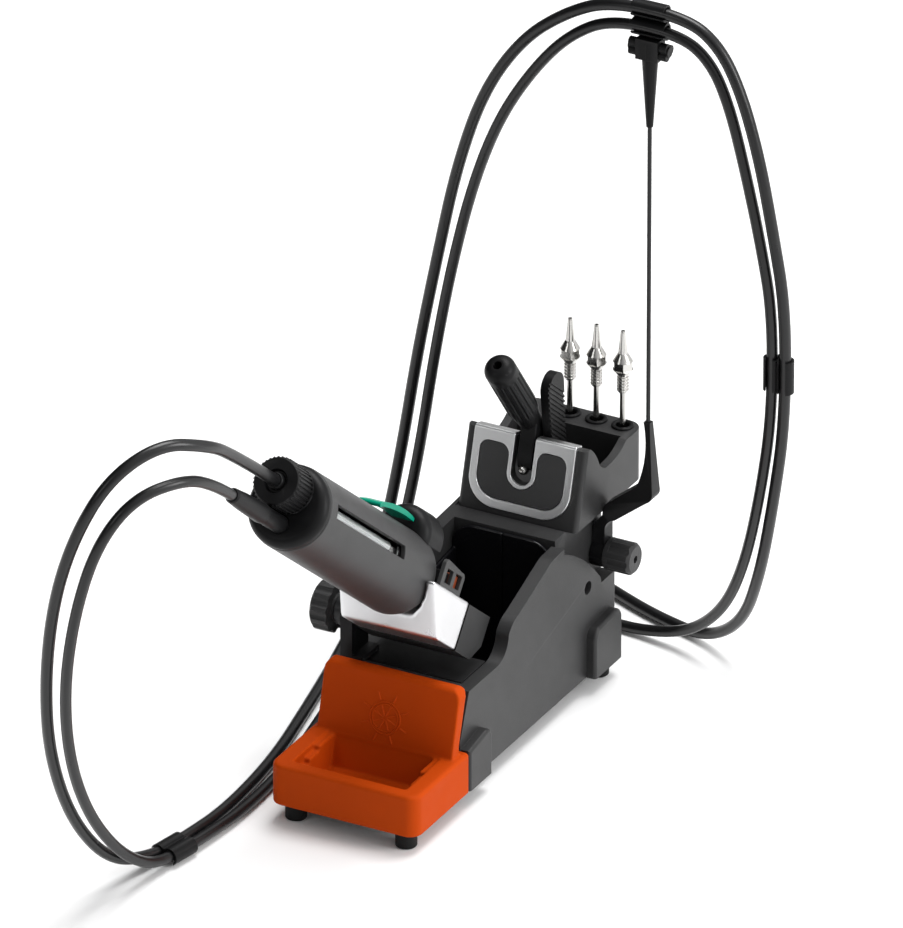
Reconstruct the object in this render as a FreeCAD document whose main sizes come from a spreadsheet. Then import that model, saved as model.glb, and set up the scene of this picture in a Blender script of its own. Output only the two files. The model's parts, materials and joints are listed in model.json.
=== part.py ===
import FreeCAD, Part
import math
import os
from FreeCAD import Placement, Rotation, Vector

# Bench stand for a desoldering iron: base with removable tray, tilting cradle with the iron in it,
# tool holder with spare tips, and a sprung arm that carries the iron's hose and cable in an arch.
# Lengths are millimetres. The stand's own frame has X to the right, Y to the back and Z up, with
# Y = 0 on the front face of the tray. Everything is then moved so that the origin is under the
# middle of the whole object's box.

SIZES = {
    "centre_x": 7.4,            # middle of the object's box in the stand's own frame
    "centre_y": 65.22,
    "base_width": 65.2,         # base shell, outside
    "base_front": 51.0,
    "base_rear": 200.0,
    "base_bottom": 8.6,
    "wall": 6.6,                # side walls of the shell
    "block_width": 75.0,        # across the corner blocks, same as the tray
    "deck": 84.2,               # top of the shell under the tool holder
    "cavity_floor": 14.0,
    "cavity_rear": 155.0,
    "plate_thick": 2.0,
    "plate_half": 31.0,
    "foot_radius": 5.0,
    "foot_height": 8.0,
    "foot_x": 28.0,
    "foot_front_y": 8.6,
    "foot_rear_y": 193.0,
    "tray_width": 75.0,
    "tray_depth": 50.6,
    "tray_rim": 29.2,
    "panel_width": 69.0,
    "holder_width": 61.0,
    "holder_rear": 233.0,
    "holder_rim": 110.0,
    "holder_front_y": 166.2,    # foot of the leaning front wall
    "holder_lean": 15.5,        # degrees from upright
    "tip_y": 226.5,
    "tip_first_x": -4.5,
    "tip_pitch": 13.5,
    "seam_y": -48.0,            # centre of the handle's rear seam
    "seam_z": 190.0,
    "iron_lean": 51.5,          # degrees between the iron's axis and upright
    "handle_radius": 19.75,
    "handle_length": 130.0,
    "handle_wall": 2.35,
    "seam": -1.4,               # where the handle's wall ends and its rear cap begins
    "rear_round": 4.6,          # rounding of the rear cap
    "cap_offset": 6.9,          # threaded cap and hose sit above the handle's axis
    "cap_radius": 11.6,
    "cap_front": 4.7,
    "cap_rear": 21.0,
    "relief_offset": -9.2,      # cable sits below the axis
    "relief_tip": 60.0,
    "cradle_width": 50.0,
    "pivot_up": -17.0,          # tilt axle, across and along the iron's axis
    "pivot_along": -162.0,
    "axle_radius": 3.0,
    "left_knob_radius": 12.0,
    "left_knob_face": -37.6,
    "left_knob_thick": 10.0,
    "arm_y": 194.3,
    "arm_z": 62.3,
    "rear_knob_radius": 7.6,
    "rear_knob_face": 32.9,
    "rear_knob_long": 13.3,
    "rod_x": 52.3,
    "rod_radius": 1.0,
    "rod_bottom": 126.2,
    "rod_top": 300.0,
    "head_top": 327.2,
    "cable_top_z": 332.0,
    "hose_top_z": 341.0,
    "cord_radius": 2.75,
    "clip_bore": 3.05,
    "clip_radius": 4.1,
    "running_gap": 0.06,        # radial gap of a pin in its bore
}

doc = FreeCAD.newDocument("DesolderingStand")
sheet = doc.addObject("Spreadsheet::Sheet", "Sizes")
for row, (alias, value) in enumerate(SIZES.items(), start=1):
    sheet.set(f"A{row}", alias)
    sheet.set(f"B{row}", str(value))
    sheet.setAlias(f"B{row}", alias)
doc.recompute()

pieces = {}


def size(alias):
    return float(sheet.get(alias))


HALF_BASE = size("base_width") / 2
STAND = Placement(Vector(-size("centre_x"), -size("centre_y"), 0), Rotation())
SEAM = Vector(0, size("seam_y"), size("seam_z"))
# In the iron's frame Z runs back along the handle to the hose, Y is the upper side, X is the right.
IRON = STAND * Placement(SEAM, Rotation(Vector(1, 0, 0), size("iron_lean")))
PIVOT = IRON.multVec(Vector(0, size("pivot_up"), size("pivot_along"))) - STAND.Base


# ---------------------------------------------------------------- drawing helpers

def new_body(name, place=STAND):
    body = doc.addObject("PartDesign::Body", name)
    body.Label = name
    body.Placement = place
    pieces[name] = body
    return body


def drawing(body, role, offset=0.0, turn=None):
    """A sketch on one of the body's own planes: XY, YZ (normal +X) or XZ (normal -Y)."""
    sketch = body.newObject("Sketcher::SketchObject", "Drawing")
    plane = next(item for item in body.Origin.OriginFeatures if item.Role == role + "_Plane")
    sketch.AttachmentSupport = [(plane, "")]
    sketch.MapMode = "FlatFace"
    rotation = turn or Rotation()
    sketch.AttachmentOffset = Placement(rotation.multVec(Vector(0, 0, offset)), rotation)
    return sketch


def outline(sketch, points):
    """A closed outline. A point (x, y, mid_x, mid_y) is reached by an arc through the middle."""
    start = points[-1]
    for point in points:
        first = Vector(start[0], start[1], 0)
        last = Vector(point[0], point[1], 0)
        if len(point) == 4:
            middle = Vector(point[2], point[3], 0)
            sketch.addGeometry(Part.Arc(first, middle, last), False)
        else:
            sketch.addGeometry(Part.LineSegment(first, last), False)
        start = point


def circle(sketch, across, up, radius):
    sketch.addGeometry(Part.Circle(Vector(across, up, 0), Vector(0, 0, 1), radius), False)


def rectangle(left, right, low, high):
    return [(left, low), (right, low), (right, high), (left, high)]


def pad(body, sketch, length, symmetric=False):
    feature = body.newObject("PartDesign::Pad", "Pad")
    feature.Profile = sketch
    set_length(feature, length)
    feature.SideType = "Symmetric" if symmetric else "One side"
    return feature


def pocket(body, sketch, length, symmetric=False, forward=False):
    """Cuts against the sketch's normal, or along it when forward is set."""
    before = body.Tip
    feature = body.newObject("PartDesign::Pocket", "Pocket")
    feature.Profile = sketch
    set_length(feature, length)
    feature.SideType = "Symmetric" if symmetric else "One side"
    feature.Reversed = forward
    doc.recompute()
    if before.Shape.Volume - feature.Shape.Volume < 0.01:
        raise RuntimeError(f"{body.Label}: a pocket cuts nothing")
    return feature


def set_length(feature, length):
    if isinstance(length, str):
        feature.setExpression("Length", length)
    else:
        feature.Length = length


def revolve(body, points):
    """Turns an outline of (radius, height) points about the body's Z axis."""
    sketch = drawing(body, "XZ")
    outline(sketch, points)
    feature = body.newObject("PartDesign::Revolution", "Revolution")
    feature.Profile = sketch
    feature.ReferenceAxis = (sketch, ["V_Axis"])
    feature.Angle = 360
    return feature


def repeat_round(body, feature, axis_sketch, count):
    pattern = body.newObject("PartDesign::PolarPattern", "PolarPattern")
    pattern.Originals = [feature]
    pattern.Axis = (axis_sketch, ["N_Axis"])
    pattern.Angle = 360
    pattern.Occurrences = count
    body.Tip = pattern
    return pattern


def round_edges(body, radius, wanted):
    """Rounds the edges whose middle point passes the test."""
    doc.recompute()
    base = body.Tip
    names = []
    for number, edge in enumerate(base.Shape.Edges, start=1):
        middle = edge.valueAt((edge.FirstParameter + edge.LastParameter) / 2)
        if wanted(middle, edge):
            names.append(f"Edge{number}")
    fillet = body.newObject("PartDesign::Fillet", "Fillet")
    fillet.Base = (base, names)
    fillet.Radius = radius
    doc.recompute()
    if "Invalid" in fillet.State or not fillet.Shape.isValid():
        raise RuntimeError(f"{body.Label}: a fillet of {radius} failed on {len(names)} edges")


def near(value, target, reach=0.05):
    return abs(value - target) < reach


def tube_along_x(name, radius, bore, left, right, centre):
    body = new_body(name)
    sketch = drawing(body, "YZ", left)
    circle(sketch, centre.y, centre.z, radius)
    if bore:
        circle(sketch, centre.y, centre.z, bore)
    pad(body, sketch, right - left)
    return body


def cap_ring(sides, radius, turn=0.0):
    """Corner points of a regular polygon about the origin."""
    step = 2 * math.pi / sides
    return [(radius * math.cos(turn + step * i), radius * math.sin(turn + step * i)) for i in range(sides)]


# ---------------------------------------------------------------- base

def make_base_plate():
    body = new_body("base_plate")
    sketch = drawing(body, "XY", size("foot_height"))
    half = size("plate_half")
    outline(sketch, rectangle(-half, half, 3.0, 198.6))
    for x, y in foot_places():
        circle(sketch, x, y, 1.52)
    pad(body, sketch, "Sizes.plate_thick")
    round_edges(body, 6.0, lambda p, e: near(abs(p.x), half) and near(p.z, 9.0) and len(e.Vertexes) == 2)


def foot_places():
    for y in (size("foot_front_y"), size("foot_rear_y")):
        for x in (-size("foot_x"), size("foot_x")):
            yield x, y


def make_feet():
    names = ("foot_front_left", "foot_front_right", "foot_rear_left", "foot_rear_right")
    for name, (x, y) in zip(names, foot_places()):
        body = new_body(name)
        sketch = drawing(body, "XY")
        circle(sketch, x, y, size("foot_radius"))
        circle(sketch, x, y, 1.6)
        pad(body, sketch, "Sizes.foot_height")
        well = drawing(body, "XY")
        circle(well, x, y, 3.1)
        pocket(body, well, 3.4, forward=True)
        round_edges(body, 0.9, lambda p, e: near(p.z, 0) and near(e.Curve.Radius, size("foot_radius")))


def make_foot_screws():
    screws = []
    for x, y in foot_places():
        head = Part.makeCylinder(2.75, 2.0, Vector(x, y, 1.3))
        shank = Part.makeCylinder(1.5, 6.4, Vector(x, y, 3.3))
        socket = Part.Face(Part.makePolygon([Vector(x + a, y + b, 1.3) for a, b in hexagon(1.3)]))
        screws.append(head.fuse(shank).cut(socket.extrude(Vector(0, 0, 1.2))))
    feature = doc.addObject("Part::Feature", "foot_screws")
    feature.Label = "foot_screws"
    feature.Shape = Part.makeCompound(screws)
    feature.Placement = STAND
    pieces["foot_screws"] = feature


def hexagon(radius):
    corners = cap_ring(6, radius)
    return corners + corners[:1]


def make_base_shell():
    body = new_body("base_shell")
    front, rear, bottom = size("base_front"), size("base_rear"), size("base_bottom")
    side = drawing(body, "YZ")
    outline(side, [
        (front, bottom), (front, 33.0), (59.5, 54.8), (86.8, 54.8),
        (97.5, 65.3, 94.6, 58.4), (106.9, 71.6, 101.2, 69.3), (136.6, 82.8),
        (144.0, 84.0, 140.2, 83.8), (191.0, 86.2), (rear, 78.0, 197.4, 84.0), (rear, bottom),
    ])
    pad(body, side, "Sizes.base_width", symmetric=True)
    front_block = drawing(body, "YZ")
    outline(front_block, [(51.7, bottom), (51.7, 29.0), (67.5, 31.8), (73.0, 27.0, 71.6, 31.0), (73.0, bottom)])
    pad(body, front_block, "Sizes.block_width", symmetric=True)
    rear_block = drawing(body, "YZ")
    outline(rear_block, [
        (172.5, bottom), (172.5, 27.0), (178.0, 33.6, 174.0, 31.6), (192.8, 34.7),
        (198.6, 29.0, 197.2, 33.2), (198.6, bottom),
    ])
    pad(body, rear_block, "Sizes.block_width", symmetric=True)
    cavity = drawing(body, "YZ")
    floor, back = size("cavity_floor"), size("cavity_rear")
    outline(cavity, [(56.0, floor), (56.0, 31.0), (64.6, 53.0), (64.6, 120.0), (back + 3, 120.0), (back, 80.0),
                     (back, floor)])
    pocket(body, cavity, "Sizes.base_width - 2 * Sizes.wall", symmetric=True)
    hollow = drawing(body, "XY", 70.0)
    outline(hollow, rectangle(-24.0, 24.0, 161.0, 186.0))
    pocket(body, hollow, 62.0)
    recess = drawing(body, "XY", size("foot_height") + size("plate_thick") + 0.1)
    outline(recess, rectangle(-31.3, 31.3, 40.0, 198.9))
    pocket(body, recess, 3.0)
    seat = drawing(body, "XY", 100.0)
    outline(seat, rectangle(-30.8, 30.8, 165.0, 210.0))
    pocket(body, seat, "100 - Sizes.deck")
    eye = drawing(body, "YZ")
    circle(eye, 174.0, 53.9, 3.25)
    pocket(body, eye, 90.0, symmetric=True)
    arm_seat = drawing(body, "YZ", HALF_BASE + 0.1)
    outline(arm_seat, [(150.0, 95.0), (151.0, 81.5), (184.5, 55.6, 170.5, 69.5), (187.0, 50.7, 186.4, 53.4),
                       (205.0, 50.7), (205.0, 95.0)])
    pocket(body, arm_seat, 7.1)
    stud_bore = drawing(body, "YZ", HALF_BASE - 6.5)
    circle(stud_bore, size("arm_y"), size("arm_z"), 3.02)
    pocket(body, stud_bore, 10.0)
    round_edges(body, 1.6, lambda p, e: near(abs(p.x), size("block_width") / 2) and p.z > 12 and p.y < 199)


def make_ballast():
    body = new_body("ballast_block")
    sketch = drawing(body, "XY", size("foot_height") + size("plate_thick") + 0.1)
    outline(sketch, rectangle(-22.0, 22.0, 163.0, 184.0))
    pad(body, sketch, 34.0)


def make_liner(name, side):
    """One half of the dark inner tub: floor, back wall with a rounded corner, and side wall."""
    body = new_body(name)
    seam, outer = side * 0.15, side * 25.9
    wall = drawing(body, "XZ", -154.7)
    outline(wall, [(seam, 14.2), (seam, 83.5), (outer - side * 12.0, 83.5),
                   (outer, 71.5, outer - side * 3.5, 80.0), (outer, 14.2)])
    pad(body, wall, 2.1)
    floor = drawing(body, "XY", 14.2)
    outline(floor, rectangle(min(seam, outer), max(seam, outer), 92.0, 154.7))
    pad(body, floor, 2.1)
    cheek = drawing(body, "YZ", min(outer, outer - side * 1.8))
    outline(cheek, [(92.0, 14.2), (154.7, 14.2), (154.7, 71.0), (108.0, 66.0), (92.0, 50.0)])
    pad(body, cheek, 1.8)


def make_bracket():
    body = new_body("cradle_bracket")
    ledge = drawing(body, "XY", 52.0)
    outline(ledge, rectangle(-25.7, 25.7, 65.0, 88.0))
    pad(body, ledge, 3.2)
    bridge = drawing(body, "XY", 55.1)
    outline(bridge, rectangle(-33.4, -22.0, PIVOT.y - 7.8, PIVOT.y + 7.8))
    pad(body, bridge, 2.6)
    arm = drawing(body, "YZ", -33.4)
    outline(arm, [(PIVOT.y - 7.8, 55.1), (PIVOT.y - 7.8, PIVOT.z),
                  (PIVOT.y + 7.8, PIVOT.z, PIVOT.y, PIVOT.z + 7.8), (PIVOT.y + 7.8, 55.1)])
    circle(arm, PIVOT.y, PIVOT.z, size("axle_radius") + size("running_gap"))
    pad(body, arm, 6.0)


def make_tray():
    body = new_body("cleaning_tray")
    bottom = size("base_bottom") + 0.2
    rim, depth = size("tray_rim"), size("tray_depth")
    tub = drawing(body, "YZ")
    outline(tub, [(0.0, bottom), (0.0, rim), (depth, rim), (depth, bottom)])
    pad(body, tub, "Sizes.tray_width", symmetric=True)
    panel = drawing(body, "YZ")
    outline(panel, [(38.2, rim - 6), (47.0, 58.0), (50.9, 61.0, 48.2, 60.6), (54.4, 59.0, 53.2, 60.6),
                    (46.8, 33.0), (46.8, rim - 6)])
    pad(body, panel, "Sizes.panel_width", symmetric=True)
    well = drawing(body, "YZ")
    outline(well, [(7.0, 13.5), (35.7, 13.5), (39.4, 28.0), (39.6, 40.0), (7.0, 40.0)])
    pocket(body, well, 57.0, symmetric=True)
    recess = drawing(body, "XY", size("foot_height") + size("plate_thick") + 0.3)
    outline(recess, rectangle(-31.4, 31.4, 2.6, 60.0))
    pocket(body, recess, 4.0)
    for side in (-1, 1):
        for near_y, far_y, top in ((9.5, 17.0, 23.5), (16.8, 26.0, 26.0), (25.8, 41.5, 28.4)):
            step = drawing(body, "XY", 13.4)
            outline(step, rectangle(min(side * 25.2, side * 28.7), max(side * 25.2, side * 28.7), near_y, far_y))
            pad(body, step, top - 13.4)
    for x in (-11.0, 9.0):
        tooth = drawing(body, "XY", 13.4)
        outline(tooth, rectangle(x - 6.5, x + 6.5, 6.8, 10.6))
        pad(body, tooth, 13.6)
    for side in (-1, 1):
        corner = drawing(body, "XZ", -50.0)
        outline(corner, [(side * 28.0, 61.8), (side * 34.5, 54.6, side * 32.8, 59.8), (side * 36.0, 54.6),
                         (side * 36.0, 61.8)])
        pocket(body, corner, 40.0, symmetric=True)
    round_edges(body, 6.0, lambda p, e: near(abs(p.x), 37.5) and near(p.y, 0) and e.Length > 15)
    round_edges(body, 1.8, lambda p, e: near(p.z, rim) and (near(p.y, 0) or near(abs(p.x), 37.5, 0.2)))


# ---------------------------------------------------------------- tool holder

def make_holder():
    body = new_body("holder_housing")
    low = size("deck")
    rear, rim = size("holder_rear"), size("holder_rim")
    side = drawing(body, "YZ")
    outline(side, [
        (size("holder_front_y"), low), (176.4, 121.0), (180.3, 121.0), (188.5, 110.0, 183.6, 117.8),
        (199.0, 105.2, 192.5, 106.2), (215.0, rim, 208.0, 106.6), (rear, rim), (rear, low),
    ])
    pad(body, side, "Sizes.holder_width", symmetric=True)
    well = drawing(body, "YZ")
    outline(well, [(171.8, 88.0), (217.0, 88.0), (217.0, 140.0), (185.0, 140.0), (180.3, 121.0), (171.8, 90.0)])
    pocket(body, well, "Sizes.holder_width - 8", symmetric=True)
    slot = drawing(body, "XZ", -185.0)
    outline(slot, [(-5.8, 140.0), (-5.8, 105.6), (5.8, 105.6, 0.0, 99.8), (5.8, 140.0)])
    pocket(body, slot, 30.0, forward=True)
    for number in range(3):
        hole = drawing(body, "XY", rim)
        circle(hole, tip_x(number), size("tip_y"), 4.25)
        pocket(body, hole, 23.0)
    half = size("holder_width") / 2
    round_edges(body, 7.5, lambda p, e: near(abs(p.x), half) and near(p.y, rear) and e.Length > 10)
    round_edges(body, 2.4, lambda p, e: near(abs(p.x), half) and p.y < 176.3 and e.Length > 30)


def tip_x(number):
    return size("tip_first_x") + number * size("tip_pitch")


def face_frame():
    """Frame on the holder's leaning front wall: X right, Y into the wall, Z up the wall."""
    foot = Vector(0, size("holder_front_y"), size("deck"))
    return STAND * Placement(foot, Rotation(Vector(1, 0, 0), -size("holder_lean")))


def lobe_top(right, left, top, radius):
    """The top of one side of the plate, from its right edge over to its left edge."""
    if not radius:
        return [(right, top), (left, top)]
    bend = radius * (1 - math.cos(math.pi / 4))
    return [(right, top - radius), (right - radius, top, right - bend, top - bend),
            (left + radius, top), (left, top - radius, left + bend, top - bend)]


def plate_outline(inset, slot_radius, top, top_corner):
    side, low, corner = 25.8 - inset, 3.2 + inset * 1.2, 14.0 - inset
    slot_low = 21.8
    bend = corner * (1 - math.cos(math.pi / 4))
    points = [(-side, low + corner), (-side + corner, low, -side + bend, low + bend),
              (side - corner, low), (side, low + corner, side - bend, low + bend)]
    points += lobe_top(side, slot_radius, top, top_corner)
    points += [(slot_radius, slot_low), (-slot_radius, slot_low, 0.0, slot_low - slot_radius)]
    return points + lobe_top(-slot_radius, -side, top, top_corner)


def make_front_plate():
    trim = new_body("holder_trim_plate", face_frame())
    face = drawing(trim, "XZ")
    outline(face, plate_outline(0.0, 5.3, 38.4, 0.0))
    pad(trim, face, 1.8)
    for left, right in ((-25.8, -5.3), (5.3, 25.8)):
        lip = drawing(trim, "XZ", 1.8)
        outline(lip, rectangle(left, right, 38.3, 40.0))
        roll = pad(trim, lip, 6.0)
        roll.Reversed = True
    bed = drawing(trim, "XZ", 1.8)
    outline(bed, plate_outline(3.6, 7.2, 34.0, 5.0))
    pocket(trim, bed, 0.9)
    round_edges(trim, 1.5, lambda p, e: near(p.y, -1.8) and near(p.z, 40.0))
    insert = new_body("holder_insert", face_frame())
    panel = drawing(insert, "XZ", 0.95)
    outline(panel, plate_outline(3.75, 7.35, 33.85, 4.85))
    pad(insert, panel, 0.6)


def make_grommets():
    for number in range(3):
        base = Placement(Vector(tip_x(number), size("tip_y"), size("holder_rim")), Rotation())
        body = new_body(f"tip_grommet_{number + 1}", STAND * base)
        revolve(body, [(1.6, -14.0), (4.2, -14.0), (4.2, 0.02), (5.25, 0.02), (5.25, 0.7), (4.8, 1.1),
                       (3.7, 1.1), (3.15, 0.6), (3.15, -5.0), (1.6, -5.0)])


def make_tips():
    for number in range(3):
        base = Placement(Vector(tip_x(number), size("tip_y"), size("holder_rim") - 15.0), Rotation())
        body = new_body(f"spare_tip_{number + 1}", STAND * base)
        thread = []
        for turn in range(5):
            low = 33.0 + turn * 1.6
            thread += [(2.2, low), (2.75, low + 0.4), (2.75, low + 0.9), (2.2, low + 1.3)]
        revolve(body, [(0.0, 0.0), (1.4, 0.0), (1.4, 32.6), (2.2, 32.6)] + thread + [
            (2.2, 41.0), (2.9, 41.3), (4.7, 44.2), (4.7, 48.2), (2.5, 52.0), (2.1, 52.3), (2.1, 53.6),
            (1.2, 62.6), (1.0, 63.4), (0.5, 63.4), (0.5, 46.0), (0.0, 46.0),
        ])
        flats = drawing(body, "XY", 48.3)
        circle(flats, 0.0, 0.0, 6.0)
        outline(flats, cap_ring(6, 4.75))
        pocket(body, flats, 4.2)


def make_tool_a():
    top = Vector(-1.5, 150.5, 169.6)
    along = Placement(top, Rotation(Vector(1, 0, 0), 37.0))
    body = new_body("hook_tool_handle", STAND * along)
    revolve(body, [
        (0.0, 0.0), (2.6, 0.0), (7.4, -5.4, 6.0, -1.5), (7.4, -38.0), (5.7, -50.0), (5.0, -68.0), (4.4, -75.0),
        (0.0, -75.0),
    ])
    hole = drawing(body, "XY", 0.1)
    circle(hole, 0.0, 0.0, 2.1)
    pocket(body, hole, 7.0)
    groove_plane = drawing(body, "XY", -9.0)
    circle(groove_plane, 7.6, 0.0, 0.85)
    groove = pocket(body, groove_plane, 33.0)
    repeat_round(body, groove, groove_plane, 16)
    hook = new_body("hook_tool_arm")
    bend = drawing(hook, "YZ", -3.9)
    outline(bend, [(178.4, 129.6), (188.6, 121.6), (184.4, 114.0), (181.4, 106.8, 182.2, 110.2), (177.6, 104.4),
                   (174.0, 106.6), (173.6, 110.4), (176.0, 120.0, 174.4, 115.0)])
    pad(hook, bend, 7.8)


def make_tool_b():
    top = Vector(7.6, 185.4, 152.0)
    along = Placement(top, Rotation(Vector(1, 0, 0), 6.0))
    body = new_body("flat_tool", STAND * along)
    side = drawing(body, "YZ", -2.3)
    outline(side, [(-7.2, -7.2), (7.2, -7.2, 0.0, 0.0), (5.8, -58.0), (3.0, -63.6), (-3.0, -63.6), (-5.8, -58.0)])
    pad(body, side, 4.6)
    for number in range(12):
        high = 1.0 - number * 2.7
        groove = drawing(body, "YZ", 2.4)
        outline(groove, [(-8.0, high), (8.0, high - 16.0), (8.0, high - 17.3), (-8.0, high - 1.3)])
        pocket(body, groove, 0.7)


# ---------------------------------------------------------------- cradle and iron

def make_cradle():
    width = "Sizes.cradle_width"
    shell = new_body("cradle_shell", IRON)
    side = drawing(shell, "YZ")
    outline(side, [(-2.0, -116.0), (-24.0, -137.0), (-24.0, -158.0), (-1.0, -158.0), (-1.0, -117.0)])
    pad(shell, side, width, symmetric=True)
    trough = drawing(shell, "XY", -130.6)
    circle(trough, 0.0, 0.0, size("handle_radius") + 0.3)
    pocket(shell, trough, 30.0, forward=True)
    throat = drawing(shell, "XY", -125.0)
    circle(throat, 0.0, 0.0, 10.0)
    pocket(shell, throat, 40.0)
    core = new_body("cradle_core", IRON)
    block = drawing(core, "YZ")
    outline(block, [(-24.0, -158.0), (-24.0, -175.0), (-16.0, -183.0), (-2.0, -183.0), (-2.0, -158.0)])
    pad(core, block, width, symmetric=True)
    groove = drawing(core, "XY", -150.0)
    circle(groove, 0.0, 0.0, 9.0)
    pocket(core, groove, 40.0)
    bore = drawing(core, "YZ", -26.0)
    circle(bore, size("pivot_up"), size("pivot_along"), 3.02)
    pocket(core, bore, 20.2, forward=True)
    tube_along_x("cradle_axle", size("axle_radius"), 0.0, size("left_knob_face") - 8.0, -6.2, PIVOT)


def make_contacts():
    frame = new_body("contact_frame", IRON)
    side = drawing(frame, "YZ", 20.4)
    outline(side, [(-0.9, -127.0), (9.4, -127.0), (11.6, -129.6, 11.0, -127.8), (9.6, -147.0),
                   (6.4, -150.6, 8.8, -149.8), (-0.9, -150.6)])
    pad(frame, side, 2.0)
    for low, high in ((-137.4, -130.6), (-147.6, -140.8)):
        window = drawing(frame, "YZ", 23.0)
        outline(window, rectangle(1.4, 7.8, low, high))
        pocket(frame, window, 4.0)
    block = new_body("contact_block", IRON)
    body_side = drawing(block, "YZ", 14.0)
    outline(body_side, rectangle(-0.95, 7.4, -148.2, -140.0))
    pad(block, body_side, 6.2)
    stop = new_body("contact_stop", IRON)
    stop_side = drawing(stop, "YZ", 14.0)
    outline(stop_side, rectangle(-0.95, 6.6, -138.0, -131.2))
    pad(stop, stop_side, 6.2)


def make_handle():
    body = new_body("handle_shell", IRON)
    outer = size("handle_radius")
    inner = outer - size("handle_wall")
    front, rear = -size("handle_length"), size("seam")
    revolve(body, [
        (9.3, front), (outer - 5.0, front), (outer, front + 5.0, outer - 1.5, front + 1.5), (outer, rear - 0.6),
        (outer - 0.6, rear), (inner, rear), (inner, front + 9.0), (inner - 5.0, front + 2.6),
        (9.3, front + 2.6),
    ])
    window = drawing(body, "YZ", 25.0, Rotation(Vector(0, 1, 0), 13.0))
    outline(window, rectangle(-3.15, 3.15, -89.0, -9.0))
    pocket(body, window, 14.0)


def make_rear_cap():
    body = new_body("rear_cap", IRON)
    rim, turn, seam = size("handle_radius") - 0.25, size("rear_round"), size("seam")
    spigot = size("handle_radius") - size("handle_wall") - 0.05
    revolve(body, [
        (0.0, 0.0), (15.4, 0.0), (15.4, -5.0), (spigot, -5.0), (spigot, seam + 0.05), (rim, seam + 0.05),
        (rim, 4.4 - turn), (rim - turn, 4.4, rim - turn * 0.29, 4.4 - turn * 0.29), (0.0, 4.4),
    ])
    lift = size("cap_offset")
    neck = drawing(body, "XY", -1.0)
    circle(neck, 0.0, lift, 3.95)
    circle(neck, 0.0, size("relief_offset"), 4.25)
    pocket(body, neck, 20.0, forward=True)


def make_screw_cap():
    lift = size("cap_offset")
    front = size("cap_front")
    body = new_body("knurled_cap", IRON * Placement(Vector(0, lift, front), Rotation()))
    reach = size("cap_rear") - front
    radius = size("cap_radius")
    revolve(body, [(4.0, 0.0), (radius, 0.0), (radius, reach - 1.2), (radius - 1.2, reach), (5.6, reach),
                   (4.9, reach - 1.6), (4.0, reach - 1.6)])
    groove_plane = drawing(body, "XY", reach + 0.1)
    circle(groove_plane, radius, 0.0, 0.75)
    groove = pocket(body, groove_plane, reach - 1.5)
    repeat_round(body, groove, groove_plane, 36)
    collar = new_body("hose_collar", IRON * Placement(Vector(0, lift, 0), Rotation()))
    revolve(collar, [(1.7, -4.0), (5.2, -4.0), (5.2, -0.1), (3.9, -0.1), (3.9, 21.6), (3.4, 22.5), (1.7, 22.5)])


def make_relief():
    body = new_body("strain_relief", IRON * Placement(Vector(0, size("relief_offset"), 0), Rotation()))
    tip = size("relief_tip")
    revolve(body, [(2.6, -3.0), (5.4, -3.0), (5.4, -0.1), (4.2, -0.1), (4.2, 22.0), (4.7, 27.0),
                   (4.2, tip - 12.0), (3.6, tip - 1.2), (3.0, tip), (2.6, tip)])


def make_glass():
    reach = 10.4
    turn = math.radians(13.0)
    centre = Vector(reach * math.cos(turn), reach * math.sin(turn), 0)
    place = IRON * Placement(centre, Rotation())
    glass = new_body("glass_tube", place)
    revolve(glass, [(5.0, -88.0), (6.2, -88.0), (6.2, -10.0), (5.0, -10.0)])
    filling = new_body("filter_plug", place)
    revolve(filling, [(0.0, -28.0), (4.9, -28.0), (4.9, -12.0), (0.0, -12.0)])
    ends = []
    for low in (-92.0, -9.9):
        ring = Part.makeCylinder(6.6, 3.8, Vector(0, 0, low)).cut(Part.makeCylinder(1.5, 3.8, Vector(0, 0, low)))
        ends.append(ring)
    seals = doc.addObject("Part::Feature", "glass_seals")
    seals.Label = "glass_seals"
    seals.Shape = Part.makeCompound(ends)
    seals.Placement = place
    pieces["glass_seals"] = seals


def make_hood():
    body = new_body("nose_hood", IRON)
    hump = drawing(body, "XY", -141.0)
    circle(hump, 0.0, 17.5, 13.5)
    pad(body, hump, 23.0)
    round_edges(body, 5.0, lambda p, e: True)
    belly = drawing(body, "XY", -160.0)
    circle(belly, 0.0, 0.0, size("handle_radius") + 0.02)
    pocket(body, belly, 60.0, forward=True)


def make_trigger():
    body = new_body("trigger_lever", IRON)
    blade = drawing(body, "YZ")
    outline(blade, [(20.9, -80.2, 22.9, -98.0), (22.6, -79.4), (24.9, -114.0, 25.4, -97.0), (24.2, -117.2),
                    (22.7, -117.2)])
    pad(body, blade, 11.0, symmetric=True)
    barrel = drawing(body, "YZ")
    circle(barrel, 21.5, -79.5, 1.2)
    pad(body, barrel, 11.0, symmetric=True)


def make_nose():
    barrel = new_body("heater_barrel", IRON)
    revolve(barrel, [(1.5, -182.0), (4.6, -182.0), (4.6, -152.0), (5.6, -149.0), (5.6, -122.0), (1.5, -122.0)])
    tip = new_body("iron_tip", IRON)
    revolve(tip, [(0.6, -200.0), (1.5, -200.0), (2.2, -190.0), (4.4, -187.0), (4.4, -182.0), (0.6, -182.0)])
    collar = new_body("nose_collar", IRON)
    revolve(collar, [(5.62, -133.0), (8.9, -133.0), (8.9, -127.3), (11.0, -127.3), (11.0, -124.0), (5.62, -124.0)])


# ---------------------------------------------------------------- knobs and hose arm

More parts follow.
